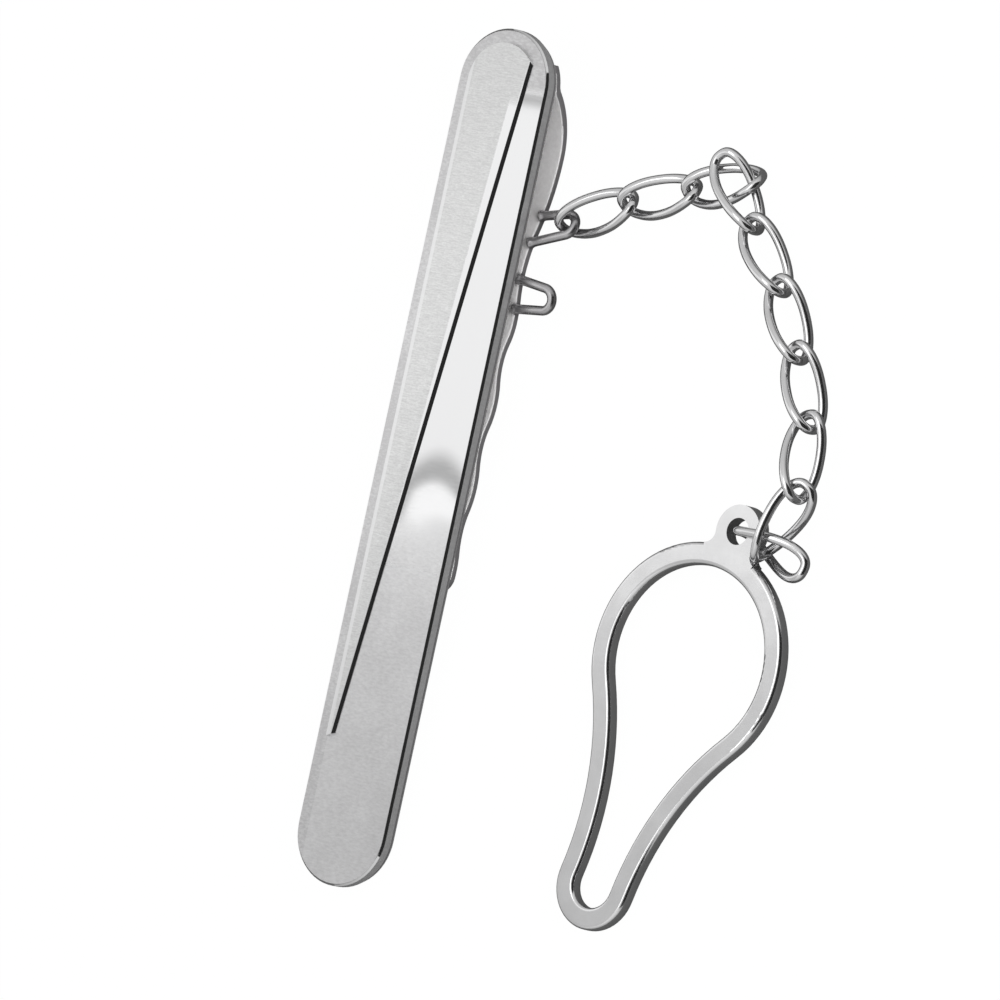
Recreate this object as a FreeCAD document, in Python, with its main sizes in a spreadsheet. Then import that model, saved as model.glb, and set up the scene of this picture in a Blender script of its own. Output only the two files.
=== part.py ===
import FreeCAD, Part
import math
import os
import Sketcher

# Tie clip with a safety chain, lying face up: the humped tongue and the bar's pointed-panel end touch the
# table, the chain and the button loop lie on the table beside the bar. The bar runs along X with its fold
# end at +X, the chain leaves towards -Y, and the origin is the middle of the bar's back face.

SIZES = [
    ("bar_length", 58.0, "front plate, end to end"),
    ("bar_width", 7.5, "front plate, across"),
    ("front_thick", 0.76, "front plate"),
    ("back_thick", 0.5, "back plate"),
    ("back_inset", 0.2, "back plate inside the front plate's outline"),
    ("edge_bevel", 0.15, "polished bevel round the front edge"),
    ("rim_width", 1.0, "bare rim beside the panel, and the facet along the far edge"),
    ("facet_drop", 0.18, "fall of that facet at the edge"),
    ("panel_thick", 0.3, "brushed panel"),
    ("panel_turn", 54.0, "degrees of the panel's round end past the middle line"),
    ("panel_point", 48.1, "from the fold end to the panel's point"),
    ("panel_nose", 0.55, "width of the panel at its point"),
    ("band_width", 0.85, "polished band along the panel's slanting side"),
    ("band_drop", 0.1, "fall of that band"),
    ("side_width", 0.5, "bevel along the panel's straight side"),
    ("side_drop", 0.05, "fall of that bevel"),
    ("slope_width", 0.24, "steep edge below the polished band"),
    ("slope_drop", 0.27, "fall of that edge"),
    ("tongue_inset", 0.02, "tongue inside the back plate's outline"),
    ("tongue_thick", 0.55, "sprung strip"),
    ("tip_inset", 0.32, "narrowing of each side of the strip at its tip"),
    ("tip_corner", 1.2, "round corners of the tip"),
    ("root_setback", 3.1, "from the bar's fold end to the bend at the root"),
    ("foot_length", 1.3, "soldered foot beyond that bend"),
    ("hump_run", 4.6, "root to hump"),
    ("hump_drop", 2.5, "hump below the bar's back face"),
    ("hump_share", 0.125, "part of the root swing taken by the bend at the root"),
    ("slope_run", 8.4, "hump to saddle"),
    ("saddle_drop", 1.05, "saddle below the back face"),
    ("slope_share", 0.6, "part of that swing taken by the hump"),
    ("wave_pitch", 5.73, "crest to crest"),
    ("crest_first", 1.3, "first crest below the back face"),
    ("crest_last", 0.96, "last crest below the back face"),
    ("trough_first", 0.8, "first trough below the back face"),
    ("trough_last", 0.6, "last trough below the back face"),
    ("wire", 0.64, "wire of the links and bows"),
    ("bow_setback", 5.1, "hump to chain bow"),
    ("bow_spacing", 4.3, "chain bow to spare bow"),
    ("bow_span", 2.0, "between the legs of a bow at the strip"),
    ("bow_reach", 3.29, "bow beyond the strip's edge"),
    ("bow_tip", 0.76, "round tip of a bow, centre line"),
    ("bow_pull", 0.75, "tip of the chain bow pulled aside by the chain"),
    ("bow_raise", 0.32, "bow's wire above the middle of the strip's edge"),
    ("bow_play", 0.2, "first link's hook beyond the centre of the bow's tip"),
    ("link_length", 6.58, "link, end to end"),
    ("link_width", 2.94, "link, across its middle"),
    ("link_power", 2.7, "power of the link's oval, two for an ellipse"),
    ("link_twist", 45.0, "degrees each end is turned"),
    ("slack", 0.38, "play in each link joint"),
    ("rest_gap", 0.02, "links above the table"),
    ("hook_along", 0.555, "corner hook, along the link it hangs on"),
    ("hook_across", 1.433, "corner hook, across that link"),
    ("eye_hook", 2.096, "eye link's hook, along the link it hangs on"),
    ("eye_run", 2.81, "eye to the middle of the eye link"),
    ("lobe_radius", 7.02, "button loop, centre line of the round lobe"),
    ("loop_span", 16.1, "lobe centre to tip centre"),
    ("tip_radius", 2.27, "button loop, centre line of the tip"),
    ("flank_radius", 20.84, "centre line of the hollow flanks"),
    ("limb_width", 1.48, "limb of the button loop"),
    ("limb_thick", 1.05, "thickness of the button loop"),
    ("limb_round", 0.3, "rounded edges of the limb"),
    ("eye_room", 1.28, "eye's centre to the lobe's outer edge, room for the links"),
    ("eye_width", 3.56, "eye, across"),
    ("eye_bore", 1.8, "hole of the eye"),
    ("neck_round", 0.8, "hollow corners between eye and lobe"),
    ("eye_lift", 0.82, "eye above the table"),
    ("eye_heading", 168.0, "degrees, way the loop points"),
]

WAVES = 4
FIRST_HEADING = -64.5

# Each link: turn from the link before it, roll about its own length, dip of its far end, rise above its
# lowest seat, and the play taken up along and across the link it hangs on.
LINKS = [
    {"turn": 0.0, "roll": 16.0},
    {"turn": -7.1, "roll": 9.0, "ahead": 0.14},
    {"turn": -0.7, "roll": 0.0, "ahead": 0.14},
    {"turn": -66.3, "roll": -42.7, "dip": 4.1},
    {"turn": 1.7, "roll": -39.0, "ahead": 0.12},
    {"turn": -9.3, "roll": -35.0, "ahead": -0.04},
    {"turn": -4.7, "roll": -31.2, "ahead": -0.08},
    {"turn": -15.5, "roll": -38.1, "dip": -11.5, "rise": 0.79, "ahead": -0.1},
    {"turn": -41.0, "roll": -61.9, "dip": 2.5, "rise": 0.44, "ahead": -0.05, "aside": 0.29},
    {"turn": 101.5, "roll": 45.2, "dip": 0.4},
]
HOOKED = 3
EYE_LINK = 9
EYE_LINK_ALONG = 0.315

Z_AXIS = FreeCAD.Vector(0, 0, 1)
WIDE = 2.0

doc = FreeCAD.newDocument("tie_clip")
sheet = doc.addObject("Spreadsheet::Sheet", "sizes")
for row, (alias, value, note) in enumerate(SIZES, start=1):
    sheet.set(f"A{row}", note)
    sheet.set(f"B{row}", str(value))
    sheet.setAlias(f"B{row}", alias)
doc.recompute()


def size(alias):
    """The sheet's number for one alias."""
    return float(getattr(sheet, alias))


def at(across, up=0.0, out=0.0):
    """A point, short for a vector."""
    return FreeCAD.Vector(across, up, out)


def new_body(label):
    """An empty body with its label."""
    body = doc.addObject("PartDesign::Body", label)
    body.Label = label
    return body


def new_sketch(body, name, role, height=None):
    """A sketch on one of the body's own origin planes, raised by an expression when one is given."""
    plane = [item for item in body.Origin.OriginFeatures if item.Role == role][0]
    sketch = body.newObject("Sketcher::SketchObject", name)
    sketch.AttachmentSupport = (plane, "")
    sketch.MapMode = "FlatFace"
    if height:
        sketch.setExpression("AttachmentOffset.Base.z", height)
    return sketch


def new_pad(body, name, sketch, length, symmetric=False):
    """A pad of a sketch, its length an expression."""
    pad = body.newObject("PartDesign::Pad", name)
    pad.Profile = sketch
    pad.SideType = "Symmetric" if symmetric else "One side"
    pad.setExpression("Length", length)
    doc.recompute()
    return pad


def new_pocket(body, name, sketch, length, symmetric=False):
    """A pocket of a sketch, its length an expression; it has to take something away."""
    before = body.Shape.Volume
    pocket = body.newObject("PartDesign::Pocket", name)
    pocket.Profile = sketch
    pocket.SideType = "Symmetric" if symmetric else "One side"
    pocket.setExpression("Length", length)
    doc.recompute()
    if body.Shape.Volume > before - 0.001:
        raise RuntimeError(f"{name} cuts nothing")
    return pocket


def close_outline(sketch, points):
    """Straight sides through the points, back to the first."""
    ring = points + points[:1]
    for start, end in zip(ring[:-1], ring[1:]):
        sketch.addGeometry(Part.LineSegment(start, end), False)


def add_slot(sketch, length, width, inset_cell=None):
    """Round-ended outline about the origin, as long and wide as two cells less an inset all round."""
    inset = size(inset_cell) if inset_cell else 0.0
    radius = size(width) / 2 - inset
    reach = (size(length) - size(width)) / 2
    right = Part.ArcOfCircle(Part.Circle(at(reach), Z_AXIS, radius), -math.pi / 2, math.pi / 2)
    left = Part.ArcOfCircle(Part.Circle(at(-reach), Z_AXIS, radius), math.pi / 2, 1.5 * math.pi)
    top = Part.LineSegment(at(reach, radius), at(-reach, radius))
    bottom = Part.LineSegment(at(-reach, -radius), at(reach, -radius))
    sketch.addGeometry([right, top, left, bottom], False)
    for first, second in ((0, 1), (1, 2), (2, 3), (3, 0)):
        sketch.addConstraint(Sketcher.Constraint("Tangent", first, 2, second, 1))
    sketch.addConstraint(Sketcher.Constraint("PointOnObject", 0, 3, -1))
    sketch.addConstraint(Sketcher.Constraint("Symmetric", 0, 3, 2, 3, -1, 1))
    held = sketch.addConstraint(Sketcher.Constraint("Radius", 0, radius))
    less = f" - sizes.{inset_cell}" if inset_cell else ""
    sketch.setExpression(f"Constraints[{held}]", f"sizes.{width} / 2{less}")
    held = sketch.addConstraint(Sketcher.Constraint("DistanceX", 2, 3, 0, 3, 2 * reach))
    sketch.setExpression(f"Constraints[{held}]", f"sizes.{length} - sizes.{width}")


def add_circle(sketch, diameter):
    """Circle about the origin, its diameter an expression."""
    sketch.addGeometry(Part.Circle(at(0), Z_AXIS, 1.0), False)
    sketch.addConstraint(Sketcher.Constraint("Coincident", 0, 3, -1, 1))
    held = sketch.addConstraint(Sketcher.Constraint("Diameter", 0, 2.0))
    sketch.setExpression(f"Constraints[{held}]", diameter)


def edges_where(shape, wanted):
    """Names of the edges whose middle point passes the test."""
    names = []
    for number, edge in enumerate(shape.Edges, start=1):
        middle = edge.valueAt((edge.FirstParameter + edge.LastParameter) / 2)
        if wanted(middle, edge):
            names.append(f"Edge{number}")
    if not names:
        raise RuntimeError("no edge found")
    return names


def shave(body, name, edge_point, heading, width, fall):
    """Sloping cut along a top edge: it starts the given width inside the edge and has the given fall there.
    The edge passes through the point with the heading, and the piece lies on its left."""
    sketch = new_sketch(body, f"{name}_section", "YZ_Plane")
    seat = at(edge_point.y, edge_point.z, edge_point.x)
    sketch.AttachmentOffset = FreeCAD.Placement(seat, FreeCAD.Rotation(at(0, 1, 0), heading))
    wide = size(width)
    outer_fall = size(fall) * (wide + WIDE) / wide
    close_outline(sketch, [at(wide, 0), at(-WIDE, -outer_fall), at(-WIDE, WIDE), at(wide, WIDE)])
    new_pocket(body, name, sketch, "2 * sizes.bar_length", symmetric=True)


# Lie of the clip: it rests on the hump and on the far end of the back plate.
half_bar = size("bar_length") / 2
half_width = size("bar_width") / 2
half_back = half_bar - size("back_inset")
root_x = half_bar - size("root_setback")
hump_x = root_x - size("hump_run")
saddle_x = hump_x - size("slope_run")
tilt = math.degrees(math.atan2(size("hump_drop"), hump_x + half_back))
table = -half_back * math.sin(math.radians(tilt))
bar_lie = FreeCAD.Placement(at(0), FreeCAD.Rotation(0, -tilt, 0))


# Front plate
front_plate = new_body("front_plate")
front_sketch = new_sketch(front_plate, "front_outline", "XY_Plane", "sizes.back_thick")
add_slot(front_sketch, "bar_length", "bar_width")
front_pad = new_pad(front_plate, "front_pad", front_sketch, "sizes.front_thick")
front_top = size("back_thick") + size("front_thick")
front_bevel = front_plate.newObject("PartDesign::Chamfer", "front_bevel")
front_bevel.Base = (front_pad, edges_where(front_pad.Shape, lambda mid, edge: abs(mid.z - front_top) < 1e-6))
front_bevel.setExpression("Size", "sizes.edge_bevel")
doc.recompute()
shave(front_plate, "far_facet", at(0, half_width, front_top), 180.0, "rim_width", "facet_drop")
front_plate.Placement = bar_lie

# Back plate
back_plate = new_body("back_plate")
back_sketch = new_sketch(back_plate, "back_outline", "XY_Plane")
add_slot(back_sketch, "bar_length", "bar_width", "back_inset")
new_pad(back_plate, "back_pad", back_sketch, "sizes.back_thick")
back_plate.Placement = bar_lie

# Brushed panel: straight side, round end, slanting side to a narrow nose
brushed_panel = new_body("brushed_panel")
panel_sketch = new_sketch(brushed_panel, "panel_outline", "XY_Plane", "sizes.back_thick + sizes.front_thick")
panel_radius = half_width - size("rim_width")
panel_centre = at(half_bar - half_width)
panel_turn = math.radians(size("panel_turn"))
slant_start = panel_centre + at(panel_radius * math.cos(panel_turn), -panel_radius * math.sin(panel_turn))
nose_x = half_bar - size("panel_point")
slant_end = at(nose_x, panel_radius - size("panel_nose"))
nose_end = at(nose_x - size("panel_nose") / 2, panel_radius)
side_start = panel_centre + at(0, panel_radius)
panel_sketch.addGeometry(
    Part.ArcOfCircle(Part.Circle(panel_centre, Z_AXIS, panel_radius), -panel_turn, math.pi / 2), False)
panel_sketch.addGeometry(Part.LineSegment(side_start, nose_end), False)
panel_sketch.addGeometry(Part.LineSegment(nose_end, slant_end), False)
panel_sketch.addGeometry(Part.LineSegment(slant_end, slant_start), False)
new_pad(brushed_panel, "panel_pad", panel_sketch, "sizes.panel_thick")
panel_top = front_top + size("panel_thick")
slant_middle = (slant_start + slant_end) * 0.5
slant = slant_start - slant_end
slant_heading = math.degrees(math.atan2(slant.y, slant.x))
shave(brushed_panel, "slant_band", at(slant_middle.x, slant_middle.y, panel_top), slant_heading,
      "band_width", "band_drop")
shave(brushed_panel, "slant_slope", at(slant_middle.x, slant_middle.y, panel_top), slant_heading,
      "slope_width", "slope_drop")
shave(brushed_panel, "side_bevel", at(0, panel_radius, panel_top), 180.0, "side_width", "side_drop")
brushed_panel.Placement = bar_lie


# Spring tongue: centre line of level-topped swings, each made of two arcs that meet on the chord
def swing(start, end, share):
    """Two arcs between two level points: (centre, radius, from x, to x, side), side +1 when the arc is the
    upper half of its circle."""
    run = end.x - start.x
    rise = end.y - start.y
    both = (run * run + rise * rise) / (2 * abs(rise))
    way = 1.0 if rise > 0 else -1.0
    middle_x = start.x + share * run
    first = share * both
    second = (1 - share) * both
    return [
        (at(start.x, start.y + way * first), first, start.x, middle_x, -way),
        (at(end.x, end.y - way * second), second, middle_x, end.x, way),
    ]


half_strip = size("tongue_thick") / 2


def level(x, drop):
    """Centre-line point whose outer face lies the given drop below the bar's back face."""
    return at(x, half_strip - drop)


stations = [level(root_x, size("tongue_thick")), level(hump_x, size("hump_drop")),
            level(saddle_x, size("saddle_drop"))]
shares = [size("hump_share"), size("slope_share")]
for wave in range(WAVES):
    part_way = wave / (WAVES - 1)
    crest = size("crest_first") + part_way * (size("crest_last") - size("crest_first"))
    trough = size("trough_first") + part_way * (size("trough_last") - size("trough_first"))
    stations.append(level(saddle_x - (wave + 0.5) * size("wave_pitch"), crest))
    stations.append(level(saddle_x - (wave + 1.0) * size("wave_pitch"), trough))
    shares += [0.5, 0.5]
arcs = []
for start, end, share in zip(stations[:-1], stations[1:], shares):
    arcs += swing(start, end, share)
arcs = arcs[:-1]
tip_x = arcs[-1][3]


def strip_height(x):
    """Height of the strip's centre line at one x."""
    for centre, radius, from_x, to_x, side in arcs:
        if to_x <= x <= from_x:
            return centre.y + side * math.sqrt(radius * radius - (x - centre.x) ** 2)
    raise ValueError("no strip there")


def face_arc(arc, face):
    """One arc of the strip's upper (+1) or under (-1) face, with its end points along the strip."""
    centre, radius, from_x, to_x, side = arc
    offset = radius + side * face * half_strip
    ends = []
    for x in (from_x, to_x):
        across = (x - centre.x) / radius
        ends.append(centre + at(offset * across, offset * side * math.sqrt(1 - across * across)))
    middle_x = (from_x + to_x) / 2
    across = (middle_x - centre.x) / radius
    middle = centre + at(offset * across, offset * side * math.sqrt(1 - across * across))
    return ends[0], middle, ends[1]


spring_tongue = new_body("spring_tongue")
strip_sketch = new_sketch(spring_tongue, "strip_section", "XZ_Plane")
foot_x = root_x + size("foot_length")
for face in (1, -1):
    corners = face_arc(arcs[0], face)
    strip_sketch.addGeometry(Part.LineSegment(at(foot_x, corners[0].y), corners[0]), False)
    for arc in arcs:
        start, middle, end = face_arc(arc, face)
        strip_sketch.addGeometry(Part.Arc(start, middle, end), False)
upper_end = face_arc(arcs[-1], 1)[2]
under_end = face_arc(arcs[-1], -1)[2]
strip_sketch.addGeometry(Part.LineSegment(upper_end, under_end), False)
strip_sketch.addGeometry(Part.LineSegment(at(foot_x, 0), at(foot_x, -size("tongue_thick"))), False)
new_pad(spring_tongue, "strip_pad", strip_sketch, "sizes.bar_width + 2", symmetric=True)

tongue_half = half_width - size("back_inset") - size("tongue_inset")
tip_half = tongue_half - size("tip_inset")
taper_x = saddle_x - size("wave_pitch") * 0.75
plan_end = half_bar - half_width
plan_tip = min(upper_end.x, under_end.x) + 0.1
corner = size("tip_corner")
plan_sketch = new_sketch(spring_tongue, "strip_plan", "XY_Plane")
plan_sketch.addGeometry(
    Part.ArcOfCircle(Part.Circle(at(plan_end), Z_AXIS, tongue_half), -math.pi / 2, math.pi / 2), False)
for side in (1, -1):
    shoulder = at(taper_x, side * tongue_half)
    corner_start = at(plan_tip + corner, side * tip_half)
    corner_end = at(plan_tip, side * (tip_half - corner))
    bulge = at(plan_tip + corner, side * (tip_half - corner))
    bulge += at(-corner * math.sqrt(0.5), side * corner * math.sqrt(0.5))
    plan_sketch.addGeometry(Part.LineSegment(at(plan_end, side * tongue_half), shoulder), False)
    plan_sketch.addGeometry(Part.LineSegment(shoulder, corner_start), False)
    plan_sketch.addGeometry(Part.Arc(corner_start, bulge, corner_end), False)
plan_sketch.addGeometry(
    Part.LineSegment(at(plan_tip, tip_half - corner), at(plan_tip, corner - tip_half)), False)
close_outline(plan_sketch, [
    at(-half_bar, -half_bar), at(half_bar + WIDE, -half_bar), at(half_bar + WIDE, half_bar),
    at(-half_bar, half_bar)])
new_pocket(spring_tongue, "strip_trim", plan_sketch, "sizes.hump_drop + 1")
spring_tongue.Placement = bar_lie


# Bows: two legs that close to a round tip, butted to the strip's edge
def bow_points(pull):
    """Half of the span, the tip's centre and, for either leg, its lean and the point where it meets the tip."""
    half_span = size("bow_span") / 2
    reach = size("bow_reach") - size("wire") / 2 - size("bow_tip")
    centre = at(pull, -reach)
    meets = []
    for side in (1, -1):
        aside = half_span - side * pull
        lean = math.acos(size("bow_tip") / math.hypot(aside, reach)) - math.atan2(reach, aside)
        meets.append((lean, centre + at(side * math.cos(lean), -math.sin(lean)) * size("bow_tip")))
    return half_span, centre, meets


def make_bow(label, middle_x, pull):
    """A wire bow standing out from the strip's near edge, lying in the strip's slope; returns it and its tip's
    centre."""
    half_span, centre, meets = bow_points(pull)
    starts = []
    for side, (lean, meet) in zip((1, -1), meets):
        starts.append(at(side * half_span, 0) + at(side * math.sin(lean), math.cos(lean)) * size("wire"))
    path = doc.addObject("Sketcher::SketchObject", f"{label}_path")
    path.addGeometry(Part.LineSegment(starts[0], meets[0][1]), False)
    path.addGeometry(Part.Arc(meets[0][1], centre - at(0, size("bow_tip")), meets[1][1]), False)
    path.addGeometry(Part.LineSegment(meets[1][1], starts[1]), False)
    ring = doc.addObject("Part::Circle", f"{label}_ring")
    ring.setExpression("Radius", "sizes.wire / 2")
    ring.Placement = FreeCAD.Placement(starts[0], FreeCAD.Rotation(Z_AXIS, meets[0][1] - starts[0]))
    wire = doc.addObject("Part::Sweep", f"{label}_wire")
    wire.Sections = [ring]
    wire.Spine = (path, ["Edge1", "Edge2", "Edge3"])
    wire.Solid = True
    trim = doc.addObject("Part::Box", f"{label}_trim")
    trim.setExpression("Length", "4 * sizes.bow_span")
    trim.setExpression("Width", "4 * sizes.wire")
    trim.setExpression("Height", "4 * sizes.wire")
    trim.setExpression("Placement.Base.x", "-2 * sizes.bow_span")
    trim.setExpression("Placement.Base.z", "-2 * sizes.wire")
    bow = doc.addObject("Part::Cut", label)
    bow.Label = label
    bow.Base = wire
    bow.Tool = trim
    doc.recompute()
    near = strip_height(middle_x - half_span)
    far = strip_height(middle_x + half_span)
    slope = math.degrees(math.atan2(near - far, 2 * half_span))
    seat = FreeCAD.Placement(at(middle_x, -tongue_half, (near + far) / 2), FreeCAD.Rotation(0, slope, 0))
    raised = FreeCAD.Placement(at(0, 0, size("bow_raise")), FreeCAD.Rotation())
    bow.Placement = bar_lie.multiply(seat).multiply(raised)
    return bow, bow.Placement.multVec(centre)


chain_bow_x = hump_x - size("bow_setback")
chain_bow, bow_centre = make_bow("chain_bow", chain_bow_x, size("bow_pull"))
spare_bow, spare_centre = make_bow("spare_bow", chain_bow_x - size("bow_spacing"), 0.0)

# Links: closed oval wire, turned about its own length so that its ends stand across each other
wire_half = size("wire") / 2
link_half = size("link_length") / 2 - wire_half
bend = size("link_width") / 2 - wire_half
twist = math.radians(size("link_twist"))
pitch = size("link_length") - 2 * size("wire") - size("slack")
STATIONS = [90.0, 70.0, 48.0, 27.0, 11.0, 0.0, -11.0, -27.0, -48.0, -70.0, -90.0]


def oval_point(degrees):
    """Point of the link's centre line: an oval about the link's middle, turned as it runs along X."""
    power = 2 / size("link_power")
    along = math.cos(math.radians(degrees))
    across = math.sin(math.radians(degrees))
    x = link_half * math.copysign(abs(along) ** power, along)
    y = bend * math.copysign(abs(across) ** power, across)
    turn = -twist * x / link_half
    return at(x, y * math.cos(turn), y * math.sin(turn))


def oval_way(degrees):
    """Unit vector along that line, with falling degrees."""
    way = oval_point(degrees - 0.2) - oval_point(degrees + 0.2)
    return way.normalize()


def two_arcs(start, start_way, end, end_way):
    """Two arcs that leave one point along one way and reach another along a second."""
    chord = end - start
    ways = start_way + end_way
    spread = 2 * (1 - start_way.dot(end_way))
    reach = (math.sqrt(chord.dot(ways) ** 2 + spread * chord.dot(chord)) - chord.dot(ways)) / spread
    corners = [start + start_way * reach, end - end_way * reach]
    meet = (corners[0] + corners[1]) * 0.5
    arcs_made = []
    for first, corner_point, second in ((start, corners[0], meet), (meet, corners[1], end)):
        middle = (first + second) * 0.5
        cosine = (second - first).Length / (2 * reach)
        top = middle + (corner_point - middle) * (cosine / (1 + cosine))
        arcs_made.append(Part.Arc(first, top, second).toShape())
    return arcs_made


def half_link():
    """The half of a link on the +X side as a swept wire."""
    edges = []
    for first, second in zip(STATIONS[:-1], STATIONS[1:]):
        edges += two_arcs(oval_point(first), oval_way(first), oval_point(second), oval_way(second))
    ring = Part.Wire([Part.Circle(oval_point(STATIONS[0]), oval_way(STATIONS[0]), wire_half).toShape()])
    return Part.Wire(edges).makePipeShell([ring], True, False)


def make_link_shape():
    """The closed link about its middle, along X."""
    first = half_link()
    second = half_link()
    second.rotate(at(0), Z_AXIS, 180)
    return first.fuse(second)


def heading_way(heading):
    """Unit vector along a heading in the table's plane."""
    return at(math.cos(math.radians(heading)), math.sin(math.radians(heading)), 0)


def seat_height(dip, roll):
    """Height of a link's middle when its lowest point lies just over the table."""
    lie = FreeCAD.Rotation(0, dip, roll)
    lowest = min(lie.multVec(oval_point(degrees)).z for degrees in range(0, 360, 2))
    return table + wire_half + size("rest_gap") - lowest


link_shape = make_link_shape()
links = []
joints = []
heading = FIRST_HEADING
joint = bow_centre + heading_way(heading) * size("bow_play")
for number, data in enumerate(LINKS):
    previous = heading_way(heading)
    left = at(-previous.y, previous.x, 0)
    heading += data["turn"]
    along = heading_way(heading)
    back = pitch / 2
    if number == HOOKED:
        joint = middle + previous * size("hook_along") + left * size("hook_across")
    elif number == EYE_LINK:
        joint = middle + previous * size("eye_hook")
        back = EYE_LINK_ALONG
    elif number:
        joint = middle + previous * (pitch / 2 + data.get("ahead", 0.0)) + left * data.get("aside", 0.0)
    dip = data.get("dip", 0.0)
    height = seat_height(dip, data["roll"]) + data.get("rise", 0.0)
    middle = at(joint.x, joint.y, 0) + along * back
    middle.z = height
    joints.append(at(joint.x, joint.y, height))
    link = doc.addObject("Part::Feature", f"chain_link_{number + 1:02d}")
    link.Label = f"chain_link_{number + 1:02d}"
    link.Shape = link_shape.copy()
    link.Placement = FreeCAD.Placement(middle, FreeCAD.Rotation(heading, dip, data["roll"]))
    links.append(link)
eye_seat = middle - along * size("eye_run")
eye_reach = size("lobe_radius") + size("limb_width") / 2 + size("eye_room")
eye_seat = at(eye_seat.x, eye_seat.y, table + size("eye_lift"))

# Button loop: flat pear-shaped frame, its eye at its own origin and its tip along its own X
button_loop = new_body("button_loop")


def pear_outline(sketch, offset):
    """Closed outline of the pear, offset outwards from the limb's centre line: lobe arc, hollow flank, tip
    arc, hollow flank. The flanks touch both round arcs."""
    lobe = size("lobe_radius") + offset
    tip = size("tip_radius") + offset
    flank = size("flank_radius") - offset
    lobe_sum = lobe + flank
    tip_sum = tip + flank
    span = size("loop_span")
    along = (lobe_sum ** 2 - tip_sum ** 2 + span ** 2) / (2 * span)
    aside = math.sqrt(lobe_sum ** 2 - along ** 2)
    lobe_centre = at(eye_reach)
    tip_centre = at(eye_reach + span)
    lobe_touch = at(along * lobe / lobe_sum, aside * lobe / lobe_sum)
    tip_touch = at((along - span) * tip / tip_sum, aside * tip / tip_sum)
    flank_centre = lobe_centre + at(along, aside)
    to_middle = (lobe_centre + lobe_touch) * 0.5 + (tip_centre + tip_touch) * 0.5 - flank_centre
    flank_middle = flank_centre + to_middle * (flank / to_middle.Length)
    ends = []
    for side in (1, -1):
        ends.append((lobe_centre + at(lobe_touch.x, side * lobe_touch.y),
                     at(flank_middle.x, side * flank_middle.y),
                     tip_centre + at(tip_touch.x, side * tip_touch.y)))
    sketch.addGeometry(Part.Arc(ends[0][0], lobe_centre - at(lobe), ends[1][0]), False)
    sketch.addGeometry(Part.Arc(ends[1][0], ends[1][1], ends[1][2]), False)
    sketch.addGeometry(Part.Arc(ends[1][2], tip_centre + at(tip), ends[0][2]), False)
    sketch.addGeometry(Part.Arc(ends[0][2], ends[0][1], ends[0][0]), False)


loop_sketch = new_sketch(button_loop, "loop_outline", "XY_Plane")
pear_outline(loop_sketch, size("limb_width") / 2)
pear_outline(loop_sketch, -size("limb_width") / 2)
loop_pad = new_pad(button_loop, "loop_pad", loop_sketch, "sizes.limb_thick")
loop_round = button_loop.newObject("PartDesign::Fillet", "loop_round")
loop_round.Base = (loop_pad, edges_where(
    loop_pad.Shape, lambda mid, edge: abs(mid.z) < 1e-6 or abs(mid.z - size("limb_thick")) < 1e-6))
loop_round.setExpression("Radius", "sizes.limb_round")
doc.recompute()
eye_sketch = new_sketch(button_loop, "eye_outline", "XY_Plane")
add_circle(eye_sketch, "sizes.eye_width")
new_pad(button_loop, "eye_pad", eye_sketch, "sizes.limb_thick")
neck_sketch = new_sketch(button_loop, "neck_outline", "XY_Plane")
eye_radius = size("eye_width") / 2
lobe_outer = size("lobe_radius") + size("limb_width") / 2
hollow = size("neck_round")
eye_sum = eye_radius + hollow
lobe_sum = lobe_outer + hollow
hollow_x = (eye_sum ** 2 - lobe_sum ** 2 + eye_reach ** 2) / (2 * eye_reach)
hollow_y = math.sqrt(eye_sum ** 2 - hollow_x ** 2)
lobe_way = at(hollow_x - eye_reach, hollow_y) * (1 / lobe_sum)
sides = []
for side in (1, -1):
    hollow_centre = at(hollow_x, side * hollow_y)
    eye_end = hollow_centre * (eye_radius / eye_sum)
    lobe_end = at(eye_reach + lobe_outer * lobe_way.x, side * lobe_outer * lobe_way.y)
    inside = at(eye_reach + size("lobe_radius") * lobe_way.x, side * size("lobe_radius") * lobe_way.y)
    to_middle = (eye_end + lobe_end) * 0.5 - hollow_centre
    hollow_middle = hollow_centre + to_middle * (hollow / to_middle.Length)
    neck_sketch.addGeometry(Part.Arc(eye_end, hollow_middle, lobe_end), False)
    neck_sketch.addGeometry(Part.LineSegment(lobe_end, inside), False)
    sides.append((eye_end, inside))
neck_sketch.addGeometry(Part.LineSegment(sides[0][1], sides[1][1]), False)
neck_sketch.addGeometry(Part.LineSegment(sides[0][0], sides[1][0]), False)
new_pad(button_loop, "neck_pad", neck_sketch, "sizes.limb_thick")
bore_sketch = new_sketch(button_loop, "bore_outline", "XY_Plane", "sizes.limb_thick")
add_circle(bore_sketch, "sizes.eye_bore")
new_pocket(button_loop, "eye_bore_cut", bore_sketch, "sizes.limb_thick + 1")
loop_end = eye_reach + size("loop_span") + size("tip_radius") + size("limb_width") / 2
loop_dip = math.degrees(math.asin((size("eye_lift") - size("rest_gap")) / loop_end))
button_loop.Placement = FreeCAD.Placement(eye_seat, FreeCAD.Rotation(size("eye_heading"), loop_dip, 0))

doc.recompute()
nodes = [front_plate, brushed_panel, back_plate, spring_tongue, chain_bow, spare_bow] + links + [button_loop]
os.makedirs("parts", exist_ok=True)
for item in doc.Objects:
    if "Invalid" in item.State or "Error" in item.State:
        raise RuntimeError(f"{item.Label} did not compute")
for node in nodes:
    if node.Shape.isNull() or not node.Shape.isValid():
        raise RuntimeError(f"{node.Label} has no valid shape")
    if len(node.Shape.Solids) != 1:
        raise RuntimeError(f"{node.Label} is not one solid")
for node in nodes:
    node.Shape.exportStep(f"parts/{node.Label}.step")

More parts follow.
